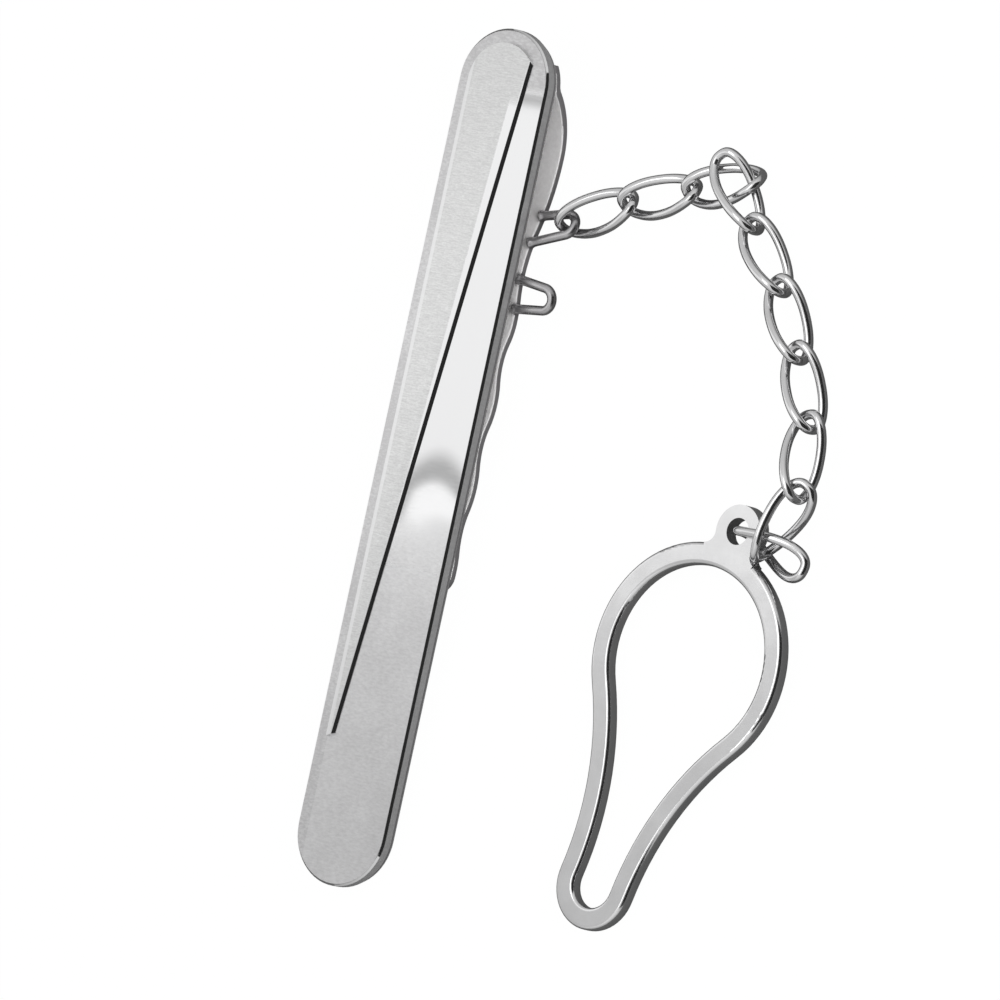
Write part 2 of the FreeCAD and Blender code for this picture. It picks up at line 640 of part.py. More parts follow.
print("tilt", round(tilt, 4), "table", round(table, 4))
root_hinge = bar_lie.multVec(at(root_x, 0, 0))
print("root", [round(v, 4) for v in root_hinge])
for number, point in enumerate(joints, start=1):
    print(f"joint {number:02d}", [round(v, 3) for v in point])
print("eye", [round(v, 3) for v in eye_seat], "loop dip", round(loop_dip, 3))
lobe_point = button_loop.Placement.multVec(at(eye_reach, 0, size("limb_thick") / 2))
print("lobe", [round(v, 3) for v in lobe_point])
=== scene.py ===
import math

import bmesh
import bpy
import numpy as np
from mathutils import Matrix, Vector


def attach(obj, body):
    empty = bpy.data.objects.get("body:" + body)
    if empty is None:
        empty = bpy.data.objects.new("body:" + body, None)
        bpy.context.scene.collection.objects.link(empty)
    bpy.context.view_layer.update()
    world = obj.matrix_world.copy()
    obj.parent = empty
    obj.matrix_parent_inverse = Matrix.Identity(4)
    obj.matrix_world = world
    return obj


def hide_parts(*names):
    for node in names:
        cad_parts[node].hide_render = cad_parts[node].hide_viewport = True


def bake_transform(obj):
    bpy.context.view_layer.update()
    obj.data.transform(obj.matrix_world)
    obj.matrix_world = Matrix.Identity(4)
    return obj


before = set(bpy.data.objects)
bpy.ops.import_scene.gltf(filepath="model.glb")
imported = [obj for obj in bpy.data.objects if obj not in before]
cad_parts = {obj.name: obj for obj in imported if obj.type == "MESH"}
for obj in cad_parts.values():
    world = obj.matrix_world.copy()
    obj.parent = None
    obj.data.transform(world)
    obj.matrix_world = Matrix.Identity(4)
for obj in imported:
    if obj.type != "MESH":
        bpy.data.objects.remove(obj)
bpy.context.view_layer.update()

bl_info = {
    "name": "Tie clip with safety chain",
    "version": (1, 0, 0),
    "blender": (4, 5, 0),
    "location": "View3D > Sidebar > Tie clip",
    "description": "Dresses a tie clip: brushed bar, waved strip, wire links and button loop",
    "category": "Object",
}

# Places and sizes are in millimetres unless a comment says metres. The bar's own frame has X along
# the bar, Y across it and Z out of its front, from the middle of its back face.
MM = 0.001

# How the bar lies: its tilt on the tongue, the table's height and the front face's height
TILT = math.radians(2.8567)
TABLE = -1.4353
FACE = 1.26
LIE = np.array([
    [math.cos(TILT), 0, -math.sin(TILT)],
    [0, 1, 0],
    [math.sin(TILT), 0, math.cos(TILT)],
])

# Sprung strip, in the bar's own frame: X and drop below the bar's back at each level point
FOOT_START = 27.2
FOOT_END = 25.9
FOOT_DROP = 0.55
HUMP = (21.3, 2.5)
FIRST_TOP = (12.9, 1.05)
HUMP_SHARES = (0.125, 0.6)
WAVES = 4
WAVE_LENGTH = 5.73
LOW_DROP, LOW_FADE = 1.3, 0.34
TOP_DROP, TOP_FADE = 0.8, 0.2
# Its outline: the bar's round end, the end of the foot's trim, the taper and the tip's corners
ROUND_END = 25.25
TRIM_END = 20
TAPER_START = 8.6
TAPER = 0.32
TIP_CORNER = 1.2
EDGE_ROUND = 0.12
SHARP = math.radians(40)
EDGE_SLOPE = 0.5
FOOT_STEPS = 6
ARC_STEPS = 14

# Wire bows: how far a leg starts inside the strip's edge, the seat's lift, the flare of the solder
BOWS = (
    # piece, node, place along the bar, pull of the tip
    ("chain_bow_wire", "chain_bow", 16.2, 0.75),
    ("spare_bow_wire", "spare_bow", 11.9, 0.0),
)
CHAIN_BOW_X, CHAIN_BOW_PULL = BOWS[0][2:]
BOW_ROOT = 0.04
BOW_LIFT = 0.32
FLARE, FLARE_REACH = 0.3, 0.2
LEG_STEPS, LEG_CROWDING = 16, 1.5
TIP_STEPS = 33
WIRE_SIDES = 24

# Chain: the first link's heading, its play in the bow, and where the two odd links hook on
LINK_POSES = (
    # turn from the link before, roll, dip, rise, play along and across the link before
    (0.0, 16.0, 0.0, 0.0, 0.0, 0.0),
    (-7.1, 9.0, 0.0, 0.0, 0.14, 0.0),
    (-0.7, 0.0, 0.0, 0.0, 0.14, 0.0),
    (-66.3, -42.7, 4.1, 0.0, 0.0, 0.0),
    (1.7, -39.0, 0.0, 0.0, 0.12, 0.0),
    (-9.3, -35.0, 0.0, 0.0, -0.04, 0.0),
    (-4.7, -31.2, 0.0, 0.0, -0.08, 0.0),
    (-15.5, -38.1, -11.5, 0.79, -0.1, 0.0),
    (-41.0, -61.9, 2.5, 0.44, -0.05, 0.29),
    (101.5, 45.2, 0.4, 0.0, 0.0, 0.0),
)
FIRST_HEADING = -64.5
BOW_PLAY = 0.2
CORNER_LINK, CORNER_AHEAD, CORNER_ASIDE = 4, 0.555, 1.433
EYE_LINK, EYE_AHEAD, EYE_BACK = 10, 2.096, 0.315
TABLE_GAP = 0.02
OVAL_STEPS = 2001
LINK_STEPS = 128

# Masks on the bar in its own frame, in metres: where each one starts and ends
# The seam mask is painted shade under the front plate's overhang as well as solder seam.
SEAM_SHADE_Z = (0.00008, 0.00016)
BAND_EDGE = (0.09582, 0.99539, 0)
BAND_OFFSET = 0.00036
BAND_X = (-0.009, 0.024)
BAND_WIDTH = (0.0001, 0.00086)
BAND_FADE = (-0.00008, 0.00003)
BAND_END_X = (0.0238, 0.0246)
STEEP = (0.0002, 0.00026)
# The line mask is a painted highlight along the panel's straight edge.
EDGE_GLINT_Y = (0.00242, 0.00248)
FACET_Y = (0.00272, 0.00278)
LOW_END_X = (-0.0032, -0.0085)
FOLD_END_X = (0.0248, 0.0256)
WALL_Z = (0.00105, 0.00111)
FLAT_Z = (0.00121, 0.00125)

# Values that most of a noise lies between
GRAIN = (0.3, 0.7)
CLOUDS = (0.35, 0.65)
MARKS = (0.3, 0.75)

# Heights of the bumps, in metres
FINE_BUMP = 0.00002
BRUSH_BUMP = 0.00003

# Colours beside those of the finishes
FROST = ((0.9, 0.89, 0.89), (0.78, 0.77, 0.77))
BRUSHED = ((0.92, 0.925, 0.92), (0.68, 0.68, 0.68))

# Stage: half the table's side, its white, and the share of it that the camera and the metal see
TABLE_HALF = 600
TABLE_LIFT = -0.01
PAPER = (0.1, 0.1, 0.1, 1)
PAPER_GLOW = 1.2
SEEN_SHARE = 0.82
MIRRORED_SHARE = 0.02
SKY_Z, SKY_LEVELS = (0.0, 0.8), (0.45, 0.95)
LAMPS = (
    # name, place in metres, width, height, watts, seen in the metal
    ("soft_box", (0.05, 0.12, 0.42), 0.3, 0.3, 0.35, True),
    ("fill_box", (0.03, -0.28, 0.14), 0.3, 0.2, 0.6, False),
)
DARK_GREYS = ((0.0, 0.02), (1.0, 0.02))
FAR_GREYS = (
    # place across the card and grey: two smudges with a highlight below the lower one
    (0.0, 0.52), (0.33, 0.54), (0.44, 0.62), (0.469, 0.76), (0.476, 1.0), (0.4895, 1.0),
    (0.4925, 0.45), (0.4985, 0.4), (0.507, 0.9), (0.668, 0.93), (0.6705, 0.42), (0.6725, 0.45),
    (0.676, 0.64), (1.0, 0.6),
)
# Bending of the far card's greys: height that counts, and X in metres where arch and lean fade
BEND_HEIGHT = 3
ARCH_X = (0.006, 0.016)
LEAN_X = (-0.0075, -0.0045)

# Camera: angle off the bar's upright, sine and cosine of the bar's lean in the picture, the
# picture's middle from the bar's middle, and the width of the picture
VIEW_ANGLE = math.radians(38)
LEAN_SINE, LEAN_COSINE = 0.2113, 0.9774
MIDDLE_RIGHT, MIDDLE_UP = 5.19, -2.85
PICTURE_WIDTH = 66.2
FOCAL_LENGTH = 600
SENSOR = 36
CLIP_NEAR, CLIP_FAR = 0.05, 5.0


class ClipSizes(bpy.types.PropertyGroup):
    """Sizes of the dressed pieces, in millimetres."""

    wire: bpy.props.FloatProperty(
        name="Wire", description="Thickness of the link and bow wire, mm", default=0.64)
    link_length: bpy.props.FloatProperty(
        name="Link length", description="Outside length of a link, mm", default=6.58)
    link_width: bpy.props.FloatProperty(
        name="Link width", description="Outside width of a link, mm", default=2.94)
    link_power: bpy.props.FloatProperty(
        name="Link fullness", description="Power of the link's oval, two for an ellipse",
        default=2.7)
    link_twist: bpy.props.FloatProperty(
        name="Link twist", description="Turn of each link end, degrees", default=45.0)
    slack: bpy.props.FloatProperty(
        name="Slack", description="Play between two links, mm", default=0.38)
    strip_thick: bpy.props.FloatProperty(
        name="Strip thickness", description="Thickness of the sprung strip, mm", default=0.55)
    strip_width: bpy.props.FloatProperty(
        name="Strip width", description="Width of the sprung strip at its root, mm", default=7.06)
    bow_span: bpy.props.FloatProperty(
        name="Bow span", description="Between the legs of a bow at the strip, mm", default=2.0)
    bow_reach: bpy.props.FloatProperty(
        name="Bow reach", description="Bow beyond the strip's edge, mm", default=3.29)
    bow_tip: bpy.props.FloatProperty(
        name="Bow tip", description="Radius of a bow's round tip, mm", default=0.76)


class ClipFinishes(bpy.types.PropertyGroup):
    """Colours and gloss of the finishes."""

    silver: bpy.props.FloatVectorProperty(
        name="Silver", description="Colour of the polished plating", subtype="COLOR", size=3,
        default=(0.93, 0.93, 0.935))
    satin: bpy.props.FloatVectorProperty(
        name="Satin", description="Colour of the dulled plating", subtype="COLOR", size=3,
        default=(0.64, 0.635, 0.64))
    # This colour paints shade as well as tarnish: under the front plate's overhang, on the strip's
    # steep edges and on the bows under the bar.
    tarnish_and_shade: bpy.props.FloatVectorProperty(
        name="Tarnish", description="Colour of solder seams and handled edges", subtype="COLOR",
        size=3, default=(0.42, 0.41, 0.42))
    polish: bpy.props.FloatProperty(
        name="Polish", description="Roughness of the polished faces", subtype="FACTOR",
        min=0, max=1, default=0.035)
    brush: bpy.props.FloatProperty(
        name="Brushing", description="Roughness of the brushed faces", subtype="FACTOR",
        min=0, max=1, default=0.36)


# Meshes


def smooth_mesh(name, points, close_rows=False, close_columns=False):
    """A smooth mesh from a grid of points in millimetres: each four neighbours make a face, a
    closed direction joins its last line to its first, and points that coincide are merged."""
    rows, columns = points.shape[:2]
    index = np.arange(rows * columns).reshape(rows, columns)
    if close_rows:
        index = np.vstack([index, index[:1]])
    if close_columns:
        index = np.hstack([index, index[:, :1]])
    corners = [index[:-1, :-1], index[1:, :-1], index[1:, 1:], index[:-1, 1:]]
    faces = np.stack(corners, axis=-1).reshape(-1, 4)
    mesh = bpy.data.meshes.new(name)
    mesh.from_pydata((points.reshape(-1, 3) * MM).tolist(), [], faces.tolist())
    made = bmesh.new()
    made.from_mesh(mesh)
    bmesh.ops.remove_doubles(made, verts=made.verts, dist=1e-8)
    bmesh.ops.recalc_face_normals(made, faces=made.faces)
    made.to_mesh(mesh)
    made.free()
    mesh.polygons.foreach_set("use_smooth", np.ones(len(mesh.polygons), bool))
    mesh.update()
    piece = bpy.data.objects.new(name, mesh)
    bpy.context.scene.collection.objects.link(piece)
    return piece


def capped(points, ends):
    """The grid with one more row at either end, all of it at one point, to close the piece."""
    first, last = [np.repeat(end[None, None, :], points.shape[1], axis=1) for end in ends]
    return np.concatenate([first, points, last])


def arc_points(centre, radius, start, end, count):
    """Points in a plane on a circle's arc: centre plus radius times cosine and sine of evenly
    spaced angles."""
    angle = np.linspace(start, end, count)
    x = centre[0] + radius * np.cos(angle)
    y = centre[1] + radius * np.sin(angle)
    return np.stack([x, y], axis=-1)


def heading_way(heading):
    """Unit vector in the table's plane at a heading in degrees."""
    angle = math.radians(heading)
    return np.array([math.cos(angle), math.sin(angle), 0.0])


def turn_matrix(heading, dip, roll):
    """Turn about X by roll, then about Y by dip, then about Z by heading, in degrees."""
    turn = (Matrix.Rotation(math.radians(heading), 3, "Z")
            @ Matrix.Rotation(math.radians(dip), 3, "Y")
            @ Matrix.Rotation(math.radians(roll), 3, "X"))
    return np.array(turn)


# Finishes


def add_node(tree, kind, place, **settings):
    """One shader node at a place in the editor, with its settings."""
    node = tree.nodes.new(kind)
    node.location = place
    for key, value in settings.items():
        setattr(node, key, value)
    return node


def set_inputs(node, **values):
    """Numbers for a node's inputs, by name with underscores for spaces."""
    for key, value in values.items():
        node.inputs[key.replace("_", " ")].default_value = value


def pattern(tree, coords, scale, turn=(0, 0, 0), detail=3.0, rough=0.55, place=(-700, 0)):
    """Noise on the piece's own coordinates, stretched by a scale for each axis."""
    mapping = add_node(tree, "ShaderNodeMapping", (place[0] - 200, place[1]))
    set_inputs(mapping, Scale=scale, Rotation=turn)
    noise = add_node(tree, "ShaderNodeTexNoise", place)
    set_inputs(noise, Scale=1.0, Detail=detail, Roughness=rough)
    tree.links.new(coords, mapping.inputs["Vector"])
    tree.links.new(mapping.outputs["Vector"], noise.inputs["Vector"])
    return noise.outputs["Fac"]


def between(tree, value, given, wanted, place, smooth=False):
    """Map a value from the given range to the wanted one, held at the ends."""
    node = add_node(tree, "ShaderNodeMapRange", place)
    node.interpolation_type = "SMOOTHSTEP" if smooth else "LINEAR"
    set_inputs(node, From_Min=given[0], From_Max=given[1], To_Min=wanted[0], To_Max=wanted[1])
    tree.links.new(value, node.inputs["Value"])
    return node.outputs["Result"]


def combine(tree, operation, first, second, place):
    """Arithmetic on two values, each a socket or a number."""
    node = add_node(tree, "ShaderNodeMath", place, operation=operation)
    for number, value in enumerate((first, second)):
        if isinstance(value, (int, float)):
            node.inputs[number].default_value = value
        else:
            tree.links.new(value, node.inputs[number])
    return node.outputs["Value"]


def mix_colour(tree, share, first, second, place):
    """Blend of two colours by a share; a colour is a socket or a triple."""
    node = add_node(tree, "ShaderNodeMix", place, data_type="RGBA")
    tree.links.new(share, node.inputs["Factor"])
    for name, value in (("A", first), ("B", second)):
        socket = [item for item in node.inputs if item.name == name and item.type == "RGBA"][0]
        if isinstance(value, tuple):
            socket.default_value = (*value, 1.0)
        else:
            tree.links.new(value, socket)
    return [item for item in node.outputs if item.type == "RGBA"][0]


def split_axes(tree, vector, place):
    """X, Y and Z of a vector."""
    split = add_node(tree, "ShaderNodeSeparateXYZ", place)
    tree.links.new(vector, split.inputs["Vector"])
    return split.outputs["X"], split.outputs["Y"], split.outputs["Z"]


def along_way(tree, vector, way, place):
    """How far a vector reaches along a way: their dot product."""
    node = add_node(tree, "ShaderNodeVectorMath", place, operation="DOT_PRODUCT")
    node.inputs[1].default_value = way
    tree.links.new(vector, node.inputs[0])
    return node.outputs["Value"]


def new_material(name):
    """An empty material and its node tree."""
    material = bpy.data.materials.new(name)
    material.use_nodes = True
    material.node_tree.nodes.clear()
    return material, material.node_tree


def new_metal(name):
    """A metal material: its tree, its shader and its coordinates."""
    material, tree = new_material(name)
    output = add_node(tree, "ShaderNodeOutputMaterial", (500, 0))
    shader = add_node(tree, "ShaderNodeBsdfPrincipled", (200, 0))
    shader.inputs["Metallic"].default_value = 1.0
    tree.links.new(shader.outputs["BSDF"], output.inputs["Surface"])
    coords = add_node(tree, "ShaderNodeTexCoord", (-1300, 0))
    return material, tree, shader, coords.outputs["Object"]


def set_look(tree, shader, colour, gloss):
    """The shader's colour and roughness."""
    tree.links.new(colour, shader.inputs["Base Color"])
    tree.links.new(gloss, shader.inputs["Roughness"])


def add_bump(tree, shader, height, strength, distance):
    """Bump on the shader from a height."""
    bump = add_node(tree, "ShaderNodeBump", (0, -400))
    set_inputs(bump, Strength=strength, Distance=distance)
    tree.links.new(height, bump.inputs["Height"])
    tree.links.new(bump.outputs["Normal"], shader.inputs["Normal"])


def bar_coords(tree, coords):
    """The bar's own coordinates: the piece's, turned back by the tilt at which the bar lies."""
    mapping = add_node(tree, "ShaderNodeMapping", (-1250, -300))
    mapping.inputs["Rotation"].default_value = (0, TILT, 0)
    tree.links.new(coords, mapping.inputs["Vector"])
    return mapping.outputs["Vector"]


def polished_silver(name, finish, rough, spread, dull, wear_and_shade):
    """Polished plating: cloudy tone, gloss that varies with fine handling marks, and slight
    unevenness. Dull is how far the clouds go from polished to the second colour: wear on the links
    and the loop, painted shade on the bows."""
    material, tree, shader, coords = new_metal(name)
    cloud = pattern(tree, coords, (420, 420, 420), place=(-700, 300))
    marks = pattern(tree, coords, (5200, 1300, 2400), turn=(0.2, 0.1, 0.6), detail=5.0)
    tone = between(tree, cloud, CLOUDS, (max(dull - 0.25, 0.0), dull), (-450, 300))
    colour = mix_colour(tree, tone, tuple(finish.silver), tuple(wear_and_shade), (-200, 300))
    gloss = between(tree, marks, MARKS, (rough, rough + spread), (-450, 0))
    set_look(tree, shader, colour, gloss)
    add_bump(tree, shader, marks, 0.05, FINE_BUMP)
    return material


def seam_shaded_silver(name, finish):
    """Satin plating of the back plate, with a dark band just under the front plate's overhang:
    partly solder seam, partly painted shade.
    """
    material, tree, shader, coords = new_metal(name)
    own = bar_coords(tree, coords)
    z = split_axes(tree, own, (-1080, -300))[2]
    grain = pattern(tree, own, (900, 4200, 5200), detail=4.0, rough=0.65, place=(-700, 300))
    # Painted shade: the top of the back plate, under the front plate's overhang, darkens towards
    # the tarnish colour; partly a solder seam.
    seam_shade = between(tree, z, SEAM_SHADE_Z, (0.0, 0.9), (-700, -200), smooth=True)
    breaks = between(tree, grain, (0.25, 0.6), (0.75, 1.0), (-500, 150))
    uneven = combine(tree, "MULTIPLY", seam_shade, breaks, (-350, 50))
    tone = between(tree, grain, GRAIN, (0.5, 1.0), (-500, 300))
    plain = mix_colour(tree, tone, tuple(finish.silver), tuple(finish.satin), (-330, 300))
    colour = mix_colour(tree, uneven, plain, tuple(finish.tarnish_and_shade), (-130, 300))
    gloss = between(tree, grain, GRAIN, (0.2, 0.3), (-330, -50))
    rougher = combine(tree, "MULTIPLY", seam_shade, 0.2, (-330, -200))
    shader.inputs["Metallic"].default_value = 0.8
    set_look(tree, shader, colour, combine(tree, "ADD", gloss, rougher, (-130, -100)))
    add_bump(tree, shader, grain, 0.15, FINE_BUMP)
    return material


def strip_silver(name, finish):
    """Strip: frosted faces that scatter light, and darker steep edge faces, told apart by the
    mesh's edge attribute; the edges' darker colour is partly tarnish and partly painted shade."""
    material, tree, shader, coords = new_metal(name)
    own = bar_coords(tree, coords)
    grain = pattern(tree, own, (3200, 3200, 3200), detail=5.0, rough=0.65, place=(-700, 300))
    edge = add_node(tree, "ShaderNodeAttribute", (-540, -550), attribute_name="edge").outputs["Fac"]
    tone = between(tree, grain, GRAIN, (0.0, 1.0), (-500, 300))
    frost = mix_colour(tree, tone, *FROST, (-330, 300))
    # Painted shade: the steep edge faces take the darker tarnish colour.
    colour = mix_colour(tree, edge, frost, tuple(finish.tarnish_and_shade), (-130, 300))
    metal = between(tree, edge, (0.0, 1.0), (0.15, 0.7), (-130, 100))
    tree.links.new(metal, shader.inputs["Metallic"])
    set_look(tree, shader, colour, between(tree, grain, GRAIN, (0.36, 0.46), (-330, 0)))
    add_bump(tree, shader, grain, 0.12, FINE_BUMP)
    return material


def brushed_silver(name, finish):
    """Brushed panel: fine short streaks across the bar in tone, gloss and height, a polished band
    along the slanting edge, and a lighter line along the straight edge, a painted highlight of the
    edge's bevel. The band is where the distance from the slanting edge is less than a width that
    grows with X, and all of the bevel."""
    material, tree, shader, coords = new_metal(name)
    own = bar_coords(tree, coords)
    x, y, _ = split_axes(tree, own, (-1080, -300))
    fine = pattern(tree, own, (14000, 1500, 1500), rough=0.7, place=(-700, 300))
    specks = pattern(tree, own, (9000, 4500, 4500), detail=4.0, rough=0.75, place=(-700, 600))
    slant = along_way(tree, own, BAND_EDGE, (-900, -500))
    inside = combine(tree, "SUBTRACT", slant, BAND_OFFSET, (-720, -500))
    width = between(tree, x, BAND_X, BAND_WIDTH, (-720, -650))
    beyond = combine(tree, "SUBTRACT", inside, width, (-540, -550))
    band = between(tree, beyond, BAND_FADE, (1.0, 0.0), (-370, -550), smooth=True)
    end = between(tree, x, BAND_END_X, (1.0, 0.0), (-540, -750))
    band = combine(tree, "MULTIPLY", band, end, (-200, -550))
    steep = between(tree, inside, STEEP, (1.0, 0.0), (-370, -700))
    band = combine(tree, "MAXIMUM", band, steep, (-120, -620))
    # Painted highlight: a lighter line along the panel's straight edge.
    line = between(tree, y, EDGE_GLINT_Y, (0.0, 0.75), (-370, -900), smooth=True)
    streak = combine(tree, "MULTIPLY", fine, specks, (-500, 450))
    streak = between(tree, streak, (0.12, 0.4), (1.0, 0.1), (-340, 450))
    brushed = mix_colour(tree, streak, *BRUSHED, (-180, 450))
    glinted = mix_colour(tree, line, brushed, tuple(finish.silver), (-20, 380))
    colour = mix_colour(tree, band, glinted, tuple(finish.silver), (120, 300))
    kept = combine(tree, "SUBTRACT", 1.0, band, (-50, -550))
    rough = between(tree, fine, GRAIN, (finish.brush + 0.1, finish.brush), (-340, 0))
    rough = combine(tree, "MULTIPLY", rough, kept, (-150, 0))
    set_look(tree, shader, colour, combine(tree, "ADD", rough, finish.polish, (20, 0)))
    add_bump(tree, shader, combine(tree, "MULTIPLY", fine, kept, (-150, -250)), 0.2, BRUSH_BUMP)
    return material


def plate_silver(name, finish):
    """Front plate: mirror-polished wedge that turns satin towards both ends of the bar, a matte
    facet along the far edge and satin side walls. The masks follow the bar's own X, Y and Z."""
    material, tree, shader, coords = new_metal(name)
    own = bar_coords(tree, coords)
    x, y, z = split_axes(tree, own, (-1080, -300))
    facet = between(tree, y, FACET_Y, (0.0, 1.2), (-900, -300))
    low = between(tree, x, LOW_END_X, (0.0, 0.85), (-900, -500), smooth=True)
    high = between(tree, x, FOLD_END_X, (0.0, 1.4), (-900, -650), smooth=True)
    wall = between(tree, z, WALL_Z, (0.8, 0.0), (-900, -800))
    flat = between(tree, z, FLAT_Z, (0.0, 1.0), (-900, -950))
    ends = combine(tree, "MAXIMUM", low, high, (-740, -600))
    ends = combine(tree, "MULTIPLY", ends, flat, (-600, -650))
    dull = combine(tree, "MAXIMUM", facet, wall, (-740, -400))
    dull = combine(tree, "MAXIMUM", dull, ends, (-470, -500))
    marks = pattern(tree, own, (5200, 900, 2400), turn=(0, 0, 0.5), detail=5.0)
    grain = pattern(tree, own, (6500, 2600, 2600), detail=5.0, rough=0.7, place=(-700, 300))
    cloud = pattern(tree, own, (190, 260, 260), detail=2.0, place=(-700, 550))
    shade = combine(tree, "ADD", between(tree, grain, GRAIN, (0.35, 1.0), (-500, 300)),
                    between(tree, cloud, CLOUDS, (-0.12, 0.12), (-500, 550)), (-330, 420))
    tone = combine(tree, "MULTIPLY", dull, shade, (-200, 350))
    colour = mix_colour(tree, tone, tuple(finish.silver), tuple(finish.satin), (-50, 300))
    gloss = between(tree, marks, MARKS, (finish.polish, finish.polish + 0.03), (-450, 0))
    rougher = combine(tree, "MULTIPLY", dull, 0.3, (-330, -200))
    metal = between(tree, wall, (0.0, 0.8), (1.0, 0.72), (-150, 150))
    tree.links.new(metal, shader.inputs["Metallic"])
    set_look(tree, shader, colour, combine(tree, "ADD", gloss, rougher, (-150, -100)))
    add_bump(tree, shader, combine(tree, "MULTIPLY", grain, dull, (-330, -400)), 0.2, BRUSH_BUMP)
    return material


def dress(piece, material):
    """One material on a piece."""
    piece.data.materials.clear()
    piece.data.materials.append(material)


# Pieces


class CLIP_OT_plates(bpy.types.Operator):
    """Finish the bar's front plate, brushed panel and back plate"""

    bl_idname = "clip.plates"
    bl_label = "Bar plates"

    def execute(self, context):
        finish = context.scene.clip_finishes
        dress(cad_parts["front_plate"], plate_silver("front_plating", finish))
        dress(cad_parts["brushed_panel"], brushed_silver("panel_brushing", finish))
        dress(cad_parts["back_plate"], seam_shaded_silver("back_plating", finish))
        return {"FINISHED"}


def strip_line(half):
    """Centre line of the sprung strip in the bar's own X and height: a level foot, then swings
    between level high and low points, each made of two arcs that meet on the straight line between
    the points. An arc of radius r leaves its level point by r - sqrt(r^2 - x^2). The last swing
    keeps only its first arc."""
    drops = [(FOOT_END, FOOT_DROP), HUMP, FIRST_TOP]
    shares = list(HUMP_SHARES)
    for wave in range(WAVES):
        part = wave / (WAVES - 1)
        drops.append((FIRST_TOP[0] - (wave + 0.5) * WAVE_LENGTH, LOW_DROP - LOW_FADE * part))
        drops.append((FIRST_TOP[0] - (wave + 1.0) * WAVE_LENGTH, TOP_DROP - TOP_FADE * part))
        shares += [0.5, 0.5]
    foot = np.linspace(FOOT_START, FOOT_END, FOOT_STEPS)
    runs = [np.stack([foot, np.full(FOOT_STEPS, -half)], axis=-1)]
    for number, share in enumerate(shares):
        start = np.array([drops[number][0], half - drops[number][1]])
        end = np.array([drops[number + 1][0], half - drops[number + 1][1]])
        run, rise = end - start
        both = (run * run + rise * rise) / (2 * abs(rise))
        way = np.sign(rise)
        first, second = share * both, (1 - share) * both
        meet = start[0] + share * run
        x = np.linspace(start[0], meet, ARC_STEPS)[1:]
        z = start[1] + way * (first - np.sqrt(first ** 2 - (x - start[0]) ** 2))
        runs.append(np.stack([x, z], axis=-1))
        if number < len(shares) - 1:
            x = np.linspace(meet, end[0], ARC_STEPS)[1:]
            z = end[1] - way * (second - np.sqrt(second ** 2 - (x - end[0]) ** 2))
            runs.append(np.stack([x, z], axis=-1))
    return np.concatenate(runs)


class CLIP_OT_strip(bpy.types.Operator):
    """Make the sprung strip: a round-edged flat section carried along the waved centre line"""

    bl_idname = "clip.strip"
    bl_label = "Spring strip"

    def execute(self, context):
        sizes = context.scene.clip_sizes
        finish = context.scene.clip_finishes
        half = sizes.strip_thick / 2
        line = strip_line(half)
        step = np.gradient(line, axis=0)
        step /= np.linalg.norm(step, axis=1, keepdims=True)
        normal = np.stack([step[:, 1], -step[:, 0]], axis=-1)
        widths = self.half_widths(line[:, 0], sizes.strip_width / 2)
        across, up = self.section(EDGE_ROUND / (sizes.strip_width / 2), half, EDGE_ROUND)
        x = line[:, 0][:, None] + normal[:, 0][:, None] * up[None, :]
        y = widths[:, None] * across[None, :]
        z = line[:, 1][:, None] + normal[:, 1][:, None] * up[None, :]
        points = np.stack([x, y, z], axis=-1)
        points = capped(points, (points[0].mean(axis=0), points[-1].mean(axis=0)))
        strip = smooth_mesh("waved_strip", points @ LIE.T, close_columns=True)
        strip.data.set_sharp_from_angle(angle=SHARP)
        self.mark_edges(strip.data)
        dress(strip, strip_silver("strip_plating", finish))
        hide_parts("spring_tongue")
        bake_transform(strip)
        return {"FINISHED"}

    def mark_edges(self, mesh):
        """Edge attribute: one on the faces that stand steeply, none on the flat ones. The faces
        marked one get the darker colour of painted shade.
        """
        normals = np.empty(3 * len(mesh.polygons))
        mesh.polygons.foreach_get("normal", normals)
        edge = mesh.attributes.new("edge", "FLOAT", "FACE")
        steep = np.abs(normals[2::3]) < EDGE_SLOPE
        edge.data.foreach_set("value", steep.astype(np.float32))

    def half_widths(self, x, half):
        """Half width along the strip: the bar's round end trims the foot to sqrt(half^2 - x^2), the
        sides run straight and then narrow, and a quarter circle rounds each corner of the tip."""
        end = np.sqrt(np.maximum(half ** 2 - np.maximum(x - ROUND_END, 0) ** 2, 0))
        taper = np.interp(x, [x.min(), TAPER_START], [half - TAPER, half])
        into = np.clip(x.min() + TIP_CORNER - x, 0, TIP_CORNER)
        tip = taper - TIP_CORNER + np.sqrt(np.maximum(TIP_CORNER ** 2 - into ** 2, 0))
        return np.where(x > TRIM_END, end, np.where(into > 0, tip, taper))

    def section(self, edge, half, round_off):
        """Round-cornered flat section: share of the half width and height, going round once. Each
        corner runs from 1 to 1 - edge across and from half - round_off to half in height, by cosine
        and sine."""
        angle = np.linspace(0, math.pi / 2, 5)
        side = 1 - edge * (1 - np.cos(angle))
        rise = half - round_off * (1 - np.sin(angle))
        across = np.concatenate([side, -side[::-1], -side, side[::-1]])
        up = np.concatenate([rise, rise[::-1], -rise, -rise[::-1]])
        return across, up


